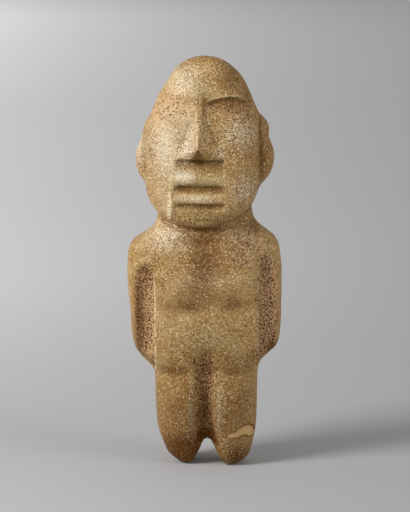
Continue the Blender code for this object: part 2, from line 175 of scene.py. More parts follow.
# Where the stone was pecked and left rough: a line of (across, up, half width) down each place, how rough
# it is, how far its border fades, how pinkish its ground is, and how coarse the marks are. Coarse marks are
# wide and deep, and those below fineFrom are dots in the material alone.
pecked = {
    "leftTrough": {
        "line": ((-48.6, 172, 4.6), (-49.8, 164, 7.4), (-50.4, 125, 8.0), (-49.4, 98, 7.2),
                 (-46.4, 84, 4.2)),
        "strength": 1.0, "fade": 0.30, "tone": 0.7, "coarse": 1.0,
    },
    "rightTrough": {
        "line": ((52.4, 181, 4.2), (53.0, 172, 6.8), (53.2, 135, 7.8), (53.0, 105, 7.4), (49.0, 90, 4.8)),
        "strength": 1.0, "fade": 0.40, "tone": 1.0, "coarse": 1.0,
    },
    "leftHollow": {
        "line": ((-43, 304, 7.5), (-31, 309, 9.5), (-17, 309, 7.5)),
        "strength": 0.75, "fade": 0.7, "tone": 0.4, "coarse": 0.3,
    },
    "rightHollow": {
        "line": ((9, 309, 5.0), (22, 310, 7.5), (38, 307, 7.5)),
        "strength": 0.95, "fade": 0.5, "tone": 0.4, "coarse": 0.3,
    },
    "groin": {
        "line": ((-1.0, 97, 3.4), (0.0, 92, 6.6), (0.4, 84, 8.2), (0.8, 72, 6.2)),
        "strength": 0.95, "fade": 0.55, "tone": 0.65, "coarse": 0.9,
    },
    "groove": {
        "line": ((0.8, 76, 5.4), (0.8, 60, 4.6), (1.2, 40, 5.0), (2.0, 24, 7.0)),
        "strength": 0.9, "fade": 0.5, "tone": 0.5, "coarse": 0.9,
    },
    "underChin": {
        "line": ((-29, 213, 1.5), (-17, 208.5, 2.4), (-5, 206.5, 2.8), (8, 207.5, 2.6), (20, 212, 1.6)),
        "strength": 0.8, "fade": 0.6, "tone": 0.1, "coarse": 0.3,
    },
    "chinFoot": {
        "line": ((-24, 217, 2.0), (-5, 213, 3.6), (15, 217, 2.4)),
        "strength": 0.6, "fade": 0.7, "tone": 0.0, "coarse": 0.3,
    },
    "underLip": {
        "line": ((-24, 226, 1.2), (-4, 226, 1.8), (15, 226, 1.2)),
        "strength": 0.5, "fade": 0.6, "tone": 0.1, "coarse": 0.3,
    },
    "hipSpot": {
        "line": ((27, 98, 2.0), (33, 95, 4.5), (38, 90, 4.0)),
        "strength": 0.6, "fade": 0.8, "tone": 0.1, "coarse": 0.4,
    },
    "pitRow": {
        "line": ((22.9, 102.0, 0.7), (26.7, 97.5, 0.7)),
        "strength": 0.9, "fade": 0.6, "tone": 0.0, "coarse": 0.3,
    },
    "ribRow": {
        "line": ((26.7, 120.8, 0.8), (37.8, 126.8, 0.8)),
        "strength": 0.5, "fade": 0.8, "tone": 0.0, "coarse": 0.3,
    },
    "rightTemple": {
        "line": ((40, 298, 3.0), (44, 282, 3.0), (45, 264, 2.5)),
        "strength": 0.3, "fade": 0.8, "tone": 0.1, "coarse": 0.2,
    },
    "leftElbow": {
        "line": ((-50, 92, 5.0), (-46, 82, 3.0)),
        "strength": 0.6, "fade": 0.8, "tone": 0.4, "coarse": 0.5,
    },
    "besideLeftTrough": {
        "line": ((-57, 160, 2.0), (-59, 120, 2.6), (-56, 96, 3.5)),
        "strength": 0.35, "fade": 0.9, "tone": 0.2, "coarse": 0.3,
    },
    "besideRightTrough": {
        "line": ((60, 160, 2.0), (61, 120, 2.5), (57, 100, 3.5)),
        "strength": 0.4, "fade": 0.9, "tone": 0.3, "coarse": 0.3,
    },
    "rightRib": {
        "line": ((34, 132, 2.0), (28, 122, 2.5), (30, 112, 2.0)),
        "strength": 0.3, "fade": 0.9, "tone": 0.0, "coarse": 0.2,
    },
    "leftFoot": {
        "line": ((-16, 30, 4.0), (-16, 20, 8.0), (-17, 8, 8.0)),
        "strength": 0.75, "fade": 0.9, "tone": 0.0, "coarse": 0.3,
    },
    "rightFoot": {
        "line": ((19, 30, 3.0), (22, 18, 7.0), (26, 7, 9.0)),
        "strength": 0.8, "fade": 0.9, "tone": 0.0, "coarse": 0.3,
    },
    "rightThigh": {
        "line": ((20, 70, 3.0), (34, 58, 4.0), (26, 44, 3.0)),
        "strength": 0.25, "fade": 0.9, "tone": 0.0, "coarse": 0.2,
    },
}


def openRing(across, up, radius, halfWidth, corners):
    turns = [2 * math.pi * k / corners for k in range(corners)]
    return tuple((across + radius * math.sin(t), up + radius * math.cos(t), halfWidth) for t in turns)


# Raised and sunk lines: how far the line stands out, how pale and how dark it is, and a line of (across,
# up, half width). The pale is painted highlight on edges that face the light, save the brow's fleck and
# ring heart, which are pale stone; the dark is painted shade, save the crack and the brow's ring, which
# hold dirt, and the feet's inner edges, where dark pitting and painted shade lie together.
tooled = {
    # painted highlight on the brow's lower edge, where it faces the light
    "rightBrow": {
        "rise": 0.2, "pale": 2.0, "dark": 0.0,
        "line": ((2.7, 314.7, 0.4), (10, 317.0, 0.55), (21, 318.7, 0.55), (27.5, 318.0, 0.5),
                 (33.3, 315.7, 0.4)),
    },
    # painted shade under the brow's edge
    "underRightBrow": {
        "rise": -0.5, "pale": 0.0, "dark": 0.55,
        "line": ((4.0, 312.0, 1.0), (10, 314.2, 1.6), (21, 315.6, 2.0), (28, 315.0, 1.7), (33, 312.8, 1.0)),
    },
    "browFleck": {
        "rise": 0.1, "pale": 1.0, "dark": 0.0,
        "line": ((2.2, 307.6, 1.0), (2.6, 309.6, 0.7)),
    },
    # painted shade on the shaded side of the nose's root
    "browNotch": {
        "rise": 0.0, "pale": 0.0, "dark": 0.5,
        "line": ((-0.6, 316.5, 1.8), (-0.8, 304.0, 1.8)),
    },
    "browRing": {
        "rise": -0.4, "pale": 0.0, "dark": 0.7,
        "line": openRing(-6.8, 313.6, 2.1, 0.6, 5),
    },
    "browRingHeart": {
        "rise": 0.0, "pale": 0.8, "dark": 0.0,
        "line": ((-6.8, 314.0, 0.8), (-6.8, 313.2, 0.8)),
    },
    # painted highlight along the left cheek's edge
    "leftCheek": {
        "rise": 0.1, "pale": 0.6, "dark": 0.0,
        "line": ((-26.6, 274, 0.4), (-27.2, 258, 0.5), (-28.4, 240, 0.5)),
    },
    # painted highlight along the left jowl's edge
    "leftJowl": {
        "rise": 0.3, "pale": 0.8, "dark": 0.0,
        "line": ((-28.6, 237, 0.8), (-29.2, 226, 1.4), (-29.4, 215, 1.6)),
    },
    # painted shade beside the left jowl's edge, on the side turned from the light
    "besideLeftJowl": {
        "rise": -0.2, "pale": 0.0, "dark": 0.5,
        "line": ((-26.6, 238, 0.4), (-26.8, 226, 0.6), (-27.0, 213, 0.8)),
    },
    # painted highlight along the right cheek's edge
    "rightCheek": {
        "rise": 0.1, "pale": 0.25, "dark": 0.0,
        "line": ((17.0, 264, 0.5), (17.4, 218, 0.6)),
    },
    # painted highlight along the left trough's inner rim
    "leftRim": {
        "rise": 0.3, "pale": 1.15, "dark": 0.0,
        "line": ((-42.6, 170, 0.4), (-41.6, 150, 0.7), (-41.4, 84, 0.8)),
    },
    # painted highlight along the right trough's inner rim
    "rightRim": {
        "rise": 0.3, "pale": 0.45, "dark": 0.0,
        "line": ((45.4, 172, 0.8), (44.6, 160, 1.0), (44.8, 104, 1.2)),
    },
    # painted highlight along the nose's ridge
    "noseRidge": {
        "rise": 0.3, "pale": 0.6, "dark": 0.0,
        "line": ((-6.8, 308, 0.8), (-6.1, 278, 1.0)),
    },
    # painted shade in the grooves between cheeks and ears, and in the ear's dimple
    "rightEar": {
        "rise": -0.5, "pale": 0.0, "dark": 0.6,
        "line": ((46.0, 298, 1.2), (47.4, 272, 1.7), (48.0, 250, 1.6)),
    },
    "leftEar": {
        "rise": -0.3, "pale": 0.0, "dark": 0.25,
        "line": ((-50.5, 290, 1.4), (-51.5, 268, 1.8), (-49.0, 250, 1.4)),
    },
    "earDimple": {
        "rise": -0.9, "pale": 0.0, "dark": 0.3,
        "line": ((-44.6, 270.5, 2.6), (-44.4, 264.5, 2.8)),
    },
    "crack": {
        "rise": -0.5, "pale": 0.0, "dark": 1.0,
        "line": ((-8.4, 66.4, 0.5), (-7.0, 71.6, 0.7), (-5.0, 77.6, 0.4)),
    },
    # painted shade under the jaw
    "throat": {
        "rise": -0.4, "pale": 0.0, "dark": 0.7,
        "line": ((-22, 208, 1.6), (-4, 204.5, 2.2), (14, 206.5, 1.6)),
    },
    "upperRidge": {
        "rise": 0.7, "pale": 0.0, "dark": 0.0,
        "line": ((-22, 249.2, 2.4), (-4, 249.4, 3.2), (14, 249.4, 3.0)),
    },
    "upperStep": {
        "rise": -1.4, "pale": 0.0, "dark": 0.0,
        "line": ((-24, 241.4, 2.0), (-4, 240.4, 2.8), (15, 240.6, 2.8)),
    },
    # painted shade under the mouth's upper step
    "upperStepShade": {
        "rise": 0.0, "pale": 0.0, "dark": 0.62,
        "line": ((-23, 241.0, 2.4), (-4, 240.2, 3.2), (15, 240.4, 3.2)),
    },
    "middleRidge": {
        "rise": 0.8, "pale": 0.0, "dark": 0.0,
        "line": ((-23, 233.4, 2.4), (-4, 233.4, 2.8), (14, 233.4, 2.6)),
    },
    "lowerStep": {
        "rise": -1.3, "pale": 0.0, "dark": 0.0,
        "line": ((-23, 227.0, 1.7), (-4, 225.8, 2.5), (15, 226.2, 2.5)),
    },
    # painted shade under the mouth's lower step
    "lowerStepShade": {
        "rise": 0.0, "pale": 0.0, "dark": 0.62,
        "line": ((-22, 227.2, 1.8), (-4, 226.6, 2.4), (15, 227.0, 2.8)),
    },
    # painted shade under the nose
    "underNose": {
        "rise": 0.0, "pale": 0.0, "dark": 0.22,
        "line": ((-23, 260.8, 1.6), (-4, 258.6, 3.6), (15, 259.8, 3.2)),
    },
    # painted shade at the top of the gap between the feet
    "aboveGap": {
        "rise": 0.0, "pale": 0.0, "dark": 1.1,
        "line": ((-6, 21, 3.0), (-1.5, 28, 4.6), (5.5, 28, 4.6), (9, 21, 3.0)),
    },
    # dark pitting and painted shade along the inner edges of the feet
    "leftOfGap": {
        "rise": 0.0, "pale": 0.0, "dark": 0.55,
        "line": ((-6, 21, 2.6), (-11, 4, 2.4)),
    },
    "rightOfGap": {
        "rise": 0.0, "pale": 0.0, "dark": 0.55,
        "line": ((9.6, 21, 2.6), (16.4, 4, 2.4)),
    },
    # painted shade on the facet under the nose's tip
    "noseFacet": {
        "rise": 0.0, "pale": 0.0, "dark": 1.1,
        "line": ((-5.7, 274.8, 0.8), (-5.0, 267.0, 6.8)),
    },
}
toolWavers = ((5.0, 0.8, 4), (1.7, 0.8, 6))  # size, reach and seed of what makes the lines uneven

# The healed chip on the foot: a line of (across, up, half width) along it. Its rim, its dark edge, which is
# partly painted shade, and the reach of the finer skin round it are in half widths of the line.
chip = {
    "line": ((20.6, 28.0, 1.6), (26.6, 28.8, 2.6), (31.4, 31.0, 3.2), (34.8, 32.4, 4.2), (38.4, 31.2, 4.4),
             (41.0, 28.2, 2.6)),
    "depth": 0.5,
    "waver": (3.0, 0.3, 3),
    "rim": (0.84, 1.06),
    "edgeAt": 1.08,
    "edgeWidth": 0.2,
    "cutReach": 1.5,
}


def smoothStep(value, low, high):
    share = np.clip((value - low) / (high - low), 0, 1)
    return share * share * (3 - 2 * share)


def pointsOf(mesh):
    spots = np.zeros(len(mesh.vertices) * 3)
    mesh.vertices.foreach_get("co", spots)
    return spots.reshape(-1, 3) / mm


def normalsOf(mesh):
    ways = np.zeros(len(mesh.vertices) * 3)
    mesh.vertex_normals.foreach_get("vector", ways)
    return ways.reshape(-1, 3)


def placePoints(mesh, spots):
    mesh.vertices.foreach_set("co", (spots * mm).ravel())
    mesh.update()


def keep(mesh, name, numbers):
    layer = mesh.attributes.new(name, "FLOAT", "POINT")
    layer.data.foreach_set("value", numbers.astype(np.float32))


def pickOnly(piece):
    bpy.ops.object.select_all(action="DESELECT")
    piece.select_set(True)
    bpy.context.view_layer.objects.active = piece


def applied(piece, kind, **settings):
    pickOnly(piece)
    change = piece.modifiers.new(kind.title(), kind)
    for name, value in settings.items():
        setattr(change, name, value)
    bpy.ops.object.modifier_apply(modifier=change.name)


def weigh(piece, name, weights):
    group = piece.vertex_groups.new(name=name)
    for k, weight in enumerate(weights):
        if weight > carving["leastWeight"]:
            group.add([k], float(weight), "REPLACE")


noiseSteps = (17.3, 5.1, 9.7)  # how far the noise of one seed lies from the next one's


def wavering(spots, size, reach, seed):
    # smooth noise about 0, so that no border is a drawn line and no line is even
    shift = Vector([seed * step for step in noiseSteps])
    return np.array([noise.noise(Vector(s) / size + shift) for s in spots]) * reach


def wavered(spots, wavers):
    return sum(wavering(spots, *each) for each in wavers)


def besideLine(spots, line):
    # distance in the front view from a line, in half widths of the line there
    flat = spots[:, (0, 2)]
    nearest = np.full(len(spots), np.inf)
    for start, end in zip(line, line[1:]):
        here, run = np.array(start), np.array(end) - np.array(start)
        share = np.clip((flat - here[:2]) @ run[:2] / (run[:2] @ run[:2]), 0, 1)
        away = np.linalg.norm(flat - here[:2] - share[:, None] * run[:2], axis=1)
        nearest = np.minimum(nearest, away / (here[2] + run[2] * share))
    return nearest


def facing(ways, turn=carving["frontTurn"]):
    return smoothStep(-ways[:, 1], *turn)


def onFront(ways):
    return ways[:, 1] < 0.1


def peckedAmounts(spots, ways):
    # how rough the stone is, how far its ground has the rough stone's tone, and how coarse the marks are
    front, waver = facing(ways), wavered(spots, peckMarks["wavers"])
    rough, tone, coarse = np.zeros(len(spots)), np.zeros(len(spots)), np.zeros(len(spots))
    for patch in pecked.values():
        away = besideLine(spots, patch["line"]) + waver * patch["fade"]
        inside = 1 - smoothStep(away, 1 - patch["fade"], 1 + patch["fade"])
        coarse = np.where(inside * patch["strength"] > rough, patch["coarse"], coarse)
        rough = np.maximum(rough, inside * patch["strength"])
        tone = np.maximum(tone, inside * patch["tone"])
    return rough * front, tone * front, coarse


def crispEdges(piece):
    # points on the solid's sharp edges, at most a voxel apart, where the carving is still crisp
    mesh = piece.data
    faceWays = {}
    for face in mesh.polygons:
        for key in face.edge_keys:
            faceWays.setdefault(key, []).append(face.normal)
    marks = []
    for key, ways in faceWays.items():
        if len(ways) < 2 or ways[0].angle(ways[1], 0.0) < carving["crease"]:
            continue
        start, end = (mesh.vertices[i].co / mm for i in key)
        steps = max(1, math.ceil((end - start).length / carving["voxel"]))
        marks += [start.lerp(end, (k + 0.5) / steps) for k in range(steps)]
    return [m for m in marks if m.y < 0 and any(
        left < m.x < right and foot < m.z < top for left, right, foot, top in crispPlaces.values()
    )]


def besideMouth(spots):
    # 1 on the mouth's steps, which are hardly smoothed, fading out round them
    left, right, foot, top = crispPlaces["mouth"]
    across, up, fade = spots[:, 0], spots[:, 2], carving["mouthFade"]
    inside = smoothStep(across, left - fade, left) * (1 - smoothStep(across, right - fade, right))
    inside *= smoothStep(up, foot - fade, foot) * (1 - smoothStep(up, top, top + fade))
    return inside * (spots[:, 1] < 0)


def farFromMarks(piece, marks):
    tree = KDTree(len(marks))
    for k, mark in enumerate(marks):
        tree.insert(mark, k)
    tree.balance()
    return np.array([tree.find(s)[2] for s in pointsOf(piece.data)])


def roundedFacets(piece):
    pickOnly(piece)
    bpy.ops.object.mode_set(mode="EDIT")
    bpy.ops.mesh.select_all(action="SELECT")
    bpy.ops.mesh.remove_doubles(threshold=carving["joined"] * mm)
    quads = {"face_threshold": carving["quadBend"], "shape_threshold": carving["quadSkew"]}
    bpy.ops.mesh.tris_convert_to_quads(**quads)
    bpy.ops.mesh.select_all(action="DESELECT")
    bpy.ops.mesh.edges_select_sharp(sharpness=carving["crease"])
    bpy.ops.transform.edge_crease(value=1)
    bpy.ops.object.mode_set(mode="OBJECT")
    applied(piece, "SUBSURF", levels=carving["roundings"])


def softened(piece, marks):
    # smooths the skin, least beside the crisp edges
    free = 1 - carving["mouthHeld"] * besideMouth(pointsOf(piece.data))
    away = smoothStep(farFromMarks(piece, marks), carving["edgeCore"], carving["edgeReach"])
    weigh(piece, "soft", away * free)
    applied(piece, "SMOOTH", iterations=carving["smoothing"], vertex_group="soft")
    piece.vertex_groups.clear()


def cutDetailFiner(piece, marks):
    # smaller faces where the stone is pecked, and along crisp edges and tooled lines
    mesh = piece.data
    spots, ways = pointsOf(mesh), normalsOf(mesh)
    rough, _, coarse = peckedAmounts(spots, ways)
    detail = (rough > carving["fineRough"]) & (coarse >= carving["fineFrom"])
    detail |= farFromMarks(piece, marks) < carving["edgeBand"]
    detail |= (besideLine(spots, chip["line"]) < chip["cutReach"]) & onFront(ways)
    for tool in tooled.values():
        widest = max(halfWidth for _, _, halfWidth in tool["line"])
        if abs(tool["rise"]) >= carving["fineRise"] and widest < carving["fineWidth"]:
            detail |= (besideLine(spots, tool["line"]) < carving["fineReach"]) & onFront(ways)
    pickOnly(piece)
    bpy.ops.object.mode_set(mode="EDIT")
    bpy.ops.mesh.select_all(action="DESELECT")
    bpy.ops.object.mode_set(mode="OBJECT")
    for face in mesh.polygons:
        face.select = sum(detail[i] for i in face.vertices) >= 2
    bpy.ops.object.mode_set(mode="EDIT")
    bpy.ops.mesh.subdivide(number_cuts=carving["fineCuts"])
    bpy.ops.object.mode_set(mode="OBJECT")


def sharpened(piece, guide, marks):
    # draws the skin back onto the solid beside the crisp edges, then wears them a little
    beside = 1 - smoothStep(farFromMarks(piece, marks), carving["edgeBand"], carving["edgeReach"])
    weigh(piece, "crisp", np.maximum(beside, besideMouth(pointsOf(piece.data))))
    applied(piece, "SHRINKWRAP", target=guide, wrap_method="NEAREST_SURFACEPOINT", vertex_group="crisp")
    applied(piece, "SMOOTH", iterations=carving["edgeWear"], vertex_group="crisp")
    piece.vertex_groups.clear()


def handWorked(piece):
    # slow swells and dips, as grinding by hand leaves them, none at the soles
    field = bpy.data.textures.new("slowSwells", "CLOUDS")
    field.noise_scale = carving["unevenSize"] * mm
    field.noise_depth = 1
    weigh(piece, "worked", smoothStep(pointsOf(piece.data)[:, 2], *carving["unevenFrom"]))
    swell = {"texture": field, "texture_coords": "LOCAL", "vertex_group": "worked"}
    applied(piece, "DISPLACE", strength=carving["unevenness"] * mm, **swell)
    piece.vertex_groups.clear()


# Places where the outline moves to the right, or to the left below 0: across, up, half width, half
# height, how far
outlineShifts = {
    "crown": (-36.0, 330.5, 12.0, 11.0, 2.3),
    "leftEar": (-54.0, 289.0, 9.0, 6.5, 1.9),
    "neck": (40.0, 224.5, 8.0, 8.0, 1.2),
    "rightShoulder": (53.0, 199.5, 12.0, 11.0, 1.6),
    "leftFoot": (-29.0, 9.0, 8.0, 7.0, -1.5),
    "rightFoot": (34.0, 6.0, 8.0, 7.0, 1.8),
}


def shiftOutline(mesh):
    spots = pointsOf(mesh)
    shifts = [far * blob(spots, *place) for *place, far in outlineShifts.values()]
    spots[:, 0] += sum(shifts)
    placePoints(mesh, spots)


def toolLines(mesh):
    # raised edges stand out and take painted highlight, sunk lines sink and take painted shade, and the
    # crack and ring take dirt
    spots, ways = pointsOf(mesh), normalsOf(mesh)
    front, waver = facing(ways), wavered(spots, toolWavers)
    pale, dark, rise = np.zeros(len(spots)), np.zeros(len(spots)), np.zeros(len(spots))
    for tool in tooled.values():
        away = besideLine(spots, tool["line"])
        rise += np.exp(-away ** 2) * front * tool["rise"]
        pale = np.maximum(pale, np.exp(-away ** 2) * front * tool["pale"] * (1 + waver))
        dark = np.maximum(dark, np.exp(-away ** 4) * front * tool["dark"] * (1 + waver * 0.5))
    placePoints(mesh, spots + ways * rise[:, None])
    # the pale keeps painted highlights on edges and the brow's pale marks; the dark keeps painted shade and
    # the dirt in the crack and ring
    keep(mesh, "paleMarksAndHighlights", np.clip(pale, 0, 1))
    keep(mesh, "dirtAndShade", np.clip(dark, 0, 1))


# Peck marks. Their radius, depth and darkness go from least to most, for the finest marks and then for
# the coarsest.
peckMarks = {
    "seed": 5,
    "spacing": 1.6,
    "leastRough": 0.06,  # where the stone is smoother than this, no mark is cut
    "radius": ((0.36, 0.6), (0.46, 0.7)),
    "depth": ((0.1, 0.3), (0.25, 0.7)),
    "darkness": ((0.6, 0.9), (0.75, 1.0)),
    "smallness": 1.4,  # above 1 small marks outnumber large ones
    "lowering": 0.3,  # the pecked ground lies this much below the polished skin
    "dotsBeside": 0.6,  # how thick the material's dots lie among marks that are cut
    "wavers": ((5.0, 0.8, 1), (2.0, 0.56, 2)),  # size, reach and seed of what frays the patches' borders
}


def blend(pair, share):
    return pair[0] + (pair[1] - pair[0]) * share


def choosePits(spots, rough, coarse, chance):
    # at most one mark in each cell of space, fewer where the stone is less rough
    taken = set()
    pits = []
    peckable = (rough > peckMarks["leastRough"]) & (coarse >= carving["fineFrom"])
    for k in chance.permutation(np.flatnonzero(peckable)):
        cell = tuple(np.floor(spots[k] / peckMarks["spacing"]).astype(int))
        if cell not in taken:
            taken.add(cell)
            if chance.random() < rough[k]:
                pits.append(k)
    return pits


def peckPits(mesh):
    spots, ways = pointsOf(mesh), normalsOf(mesh)
    rough, tone, coarse = peckedAmounts(spots, ways)
    chance = np.random.default_rng(peckMarks["seed"])
    pits = choosePits(spots, rough, coarse, chance)
    tree = KDTree(len(spots))
    for k, spot in enumerate(spots):
        tree.insert(spot, k)
    tree.balance()
    depth, dark = np.zeros(len(spots)), np.zeros(len(spots))
    for k in pits:
        size = chance.random() ** peckMarks["smallness"]
        radius = blend([blend(pair, size) for pair in peckMarks["radius"]], coarse[k])
        deep = blend([blend(pair, size) for pair in peckMarks["depth"]], coarse[k])
        darkness = blend([blend(pair, chance.random()) for pair in peckMarks["darkness"]], coarse[k])
        for _, i, far in tree.find_range(Vector(spots[k]), radius * 2):
            depth[i] = max(depth[i], deep * math.exp(-((far / radius) ** 2)))
            dark[i] = max(dark[i], darkness * math.exp(-((far / radius) ** 4)))
    depth += rough * peckMarks["lowering"]
    placePoints(mesh, spots - ways * depth[:, None])
    keep(mesh, "pit", dark)
    keep(mesh, "rough", rough)
    keep(mesh, "roughTone", tone)
    keep(mesh, "dotted", rough * np.where(coarse < carving["fineFrom"], 1.0, peckMarks["dotsBeside"]))
    print("peck marks:", len(pits))


def neighbourMean(numbers, pairs, rounds):
    count = np.bincount(pairs.ravel(), minlength=len(numbers))
    for _ in range(rounds):
        total = np.bincount(pairs[:, 0], numbers[pairs[:, 1]], len(numbers))
        total += np.bincount(pairs[:, 1], numbers[pairs[:, 0]], len(numbers))
        numbers = 0.5 * numbers + 0.5 * total / count
    return numbers


# Hollows are darkened, for dirt and painted shade together, and what stands proud shines: from how far to
# how far below and above a smoothed skin
hollows = {
    "smoothing": 40,
    "settling": 3,
    "below": (0.04, 0.75),
    "above": (0.04, 0.6),
}


def keepHollows(mesh):
    pairs = np.zeros(len(mesh.edges) * 2, int)
    mesh.edges.foreach_get("vertices", pairs)
    pairs = pairs.reshape(-1, 2)
    spots, ways = pointsOf(mesh), normalsOf(mesh)
    smooth = [neighbourMean(spots[:, axis], pairs, hollows["smoothing"]) for axis in range(3)]
    below = np.einsum("ij,ij->i", np.stack(smooth, axis=1) - spots, ways)
    below = neighbourMean(below, pairs, hollows["settling"])
    keep(mesh, "hollowDirtAndShade", smoothStep(below, *hollows["below"]))
    keep(mesh, "proud", smoothStep(-below, *hollows["above"]))


def healChip(mesh):
    spots, ways = pointsOf(mesh), normalsOf(mesh)
    away = besideLine(spots, chip["line"]) + wavering(spots, *chip["waver"])
    inside = (1 - smoothStep(away, *chip["rim"])) * onFront(ways)
    placePoints(mesh, spots - ways * (inside * chip["depth"])[:, None])
    keep(mesh, "chip", inside)
    fromEdge = (away - chip["edgeAt"]) / chip["edgeWidth"]
    keep(mesh, "chipEdge", np.exp(-fromEdge ** 2) * onFront(ways))


def blob(spots, across, up, halfWidth, halfHeight):
    far = ((spots[:, 0] - across) / halfWidth) ** 2 + ((spots[:, 2] - up) / halfHeight) ** 2
    return np.exp(-far)


# Patches of whitish grain, brown stain and painted shade, pale ground that is painted light, green tinge
# and coarser
# grain: across, up, half width, half height, strength
tinges = {
    "frost": {
        "forehead": (-16.0, 328.0, 15.0, 13.0, 0.6),
        "leftTemple": (-30.0, 304.0, 12.0, 14.0, 0.4),
        "leftCheek": (-33.0, 270.0, 16.0, 30.0, 0.6),
        "leftJowl": (-29.4, 226.0, 2.4, 13.0, 1.3),
        "leftEar": (-54.0, 272.0, 7.0, 20.0, 0.45),
        "middleLip": (-8.0, 233.0, 18.0, 3.4, 0.5),
        "rightCheek": (29.0, 287.0, 14.0, 13.0, 0.9),
        "rightJaw": (33.0, 240.0, 11.0, 12.0, 0.8),
        "leftChest": (-31.0, 198.0, 17.0, 11.0, 0.85),
        "rightChest": (33.0, 194.0, 14.0, 15.0, 0.45),
        "breasts": (2.0, 163.0, 34.0, 9.0, 0.3),
        "noseBase": (-16.0, 274.0, 6.0, 6.0, 0.9),
        "noseBaseRight": (13.0, 273.0, 6.0, 6.0, 0.7),
        "upperLip": (-18.0, 251.5, 9.0, 5.5, 1.0),
        "belly": (-4.0, 118.0, 30.0, 14.0, 0.2),
        "leftShin": (-11.4, 52.0, 3.6, 26.0, 0.45),
        "rightShin": (12.6, 52.0, 4.0, 26.0, 0.6),
    },
    "stain": {
        "crown": (21.0, 333.0, 12.0, 11.0, 0.65),
        "rightSideOfHead": (36.0, 316.0, 5.0, 14.0, 0.6),
        # painted shadow of the head on the throat, with brown stain
        "throat": (0.0, 197.0, 24.0, 9.0, 1.0),
        "rightShoulder": (40.0, 207.0, 9.0, 9.0, 0.8),
        "rightChest": (30.0, 190.0, 15.0, 18.0, 0.8),
        "chin": (2.0, 220.0, 20.0, 6.0, 0.5),
        "belly": (0.0, 116.0, 36.0, 20.0, 0.3),
        # brown stain and painted shade in the hollow between and below the breasts
        "breastbone": (3.0, 178.0, 17.0, 24.0, 0.95),
        "belowBreastbone": (2.0, 152.0, 26.0, 15.0, 0.65),
        # painted shade under the breasts
        "leftBreast": (-12.0, 142.0, 19.0, 7.0, 0.72),
        "rightBreast": (24.0, 143.0, 16.0, 6.5, 0.72),
        # painted shade in the hip creases
        "leftHip": (-23.0, 85.0, 16.0, 5.0, 0.85),
        "rightHip": (24.0, 84.0, 14.0, 5.0, 0.7),
        # brown stain and painted fall-off of the light, darker towards the feet
        "leftFoot": (-21.0, 10.0, 24.0, 22.0, 1.6),
        "rightFoot": (28.0, 8.0, 18.0, 15.0, 1.15),
        "rightElbow": (57.0, 104.0, 8.0, 8.0, 0.9),
        "leftElbow": (-55.0, 108.0, 8.0, 14.0, 0.7),
        # painted shade between the feet
        "gap": (2.0, 24.0, 14.0, 12.0, 1.0),
        "brow": (1.0, 312.0, 5.0, 8.0, 0.9),
        # painted shade in the ears' grooves
        "rightEar": (48.0, 268.0, 4.0, 26.0, 0.6),
        "leftEar": (-50.0, 268.0, 3.0, 18.0, 0.3),
        # painted shade under the nose
        "underNose": (3.0, 258.0, 17.0, 4.2, 0.5),
        # brown stain and painted fall-off of the light, darker towards the feet
        "legs": (-4.0, 40.0, 60.0, 44.0, 0.7),
        # brown stain and painted shade in the groove between the legs
        "groove": (1.2, 48.0, 6.0, 34.0, 0.8),
        "leftTroughShade": (-55.5, 126.0, 5.5, 46.0, 1.0),
        "leftTroughTop": (-49.0, 168.0, 8.0, 8.0, 0.6),
        "rightTroughTop": (53.0, 172.0, 7.0, 10.0, 0.45),
        "rightHollow": (22.0, 311.0, 20.0, 7.0, 0.8),
        # brown stain and painted shade in the groin
        "groin": (1.0, 84.0, 10.0, 16.0, 0.75),
    },
    # painted light on the side that faces the light and on the lit tops of the lips' ridges
    "pale": {
        "leftOfNose": (-14.0, 286.0, 9.0, 20.0, 1.0),
        "leftCheek": (-31.0, 276.0, 13.0, 26.0, 0.8),
        "leftForehead": (-20.0, 332.0, 16.0, 12.0, 0.45),
        "upperLip": (-18.0, 251.0, 9.0, 5.0, 1.1),
        "upperLipRight": (6.0, 248.0, 12.0, 3.0, 0.4),
        "middleLip": (-6.0, 232.6, 20.0, 3.2, 0.5),
        "leftEar": (-54.0, 274.0, 7.0, 18.0, 0.6),
        "leftChest": (-32.0, 199.0, 16.0, 9.0, 0.45),
        "leftJaw": (-35.0, 232.0, 7.0, 14.0, 0.4),
    },
    "green": {
        "lips": (-2.0, 247.0, 20.0, 16.0, 0.8),
        "chin": (-4.0, 219.0, 16.0, 7.0, 0.9),
        "temple": (0.0, 322.0, 9.0, 9.0, 0.8),
        "nose": (1.0, 296.0, 5.0, 14.0, 0.6),
        "elbowSpot": (60.5, 143.0, 2.5, 5.0, 0.8),
        "belly": (0.0, 116.0, 34.0, 18.0, 0.45),
        "shin": (14.0, 52.0, 4.0, 26.0, 0.5),
        "leftShin": (-11.0, 52.0, 4.0, 26.0, 0.4),
    },
    "grainy": {
        "crown": (2.0, 342.0, 26.0, 13.0, 1.0),
        "rightForehead": (24.0, 326.0, 15.0, 14.0, 0.8),
        "nose": (-3.0, 288.0, 12.0, 24.0, 0.9),
        "chin": (-4.0, 218.0, 20.0, 7.0, 0.6),
        "throat": (0.0, 197.0, 26.0, 10.0, 0.5),
        "rightChest": (31.0, 191.0, 18.0, 18.0, 0.8),
        "rightLeg": (28.0, 56.0, 15.0, 26.0, 0.4),
        "leftFoot": (-21.0, 12.0, 22.0, 18.0, 1.0),
        "rightFoot": (26.0, 12.0, 18.0, 16.0, 1.0),
    },
}


# The back isn't seen in the photograph, so each tinge lies there in patches of its own
backTinges = {
    "strength": 0.4,
    "size": 26.0,
    "seed": 7,
    "fade": (0.0, 0.5),
    "turn": (-0.35, 0.2),
}


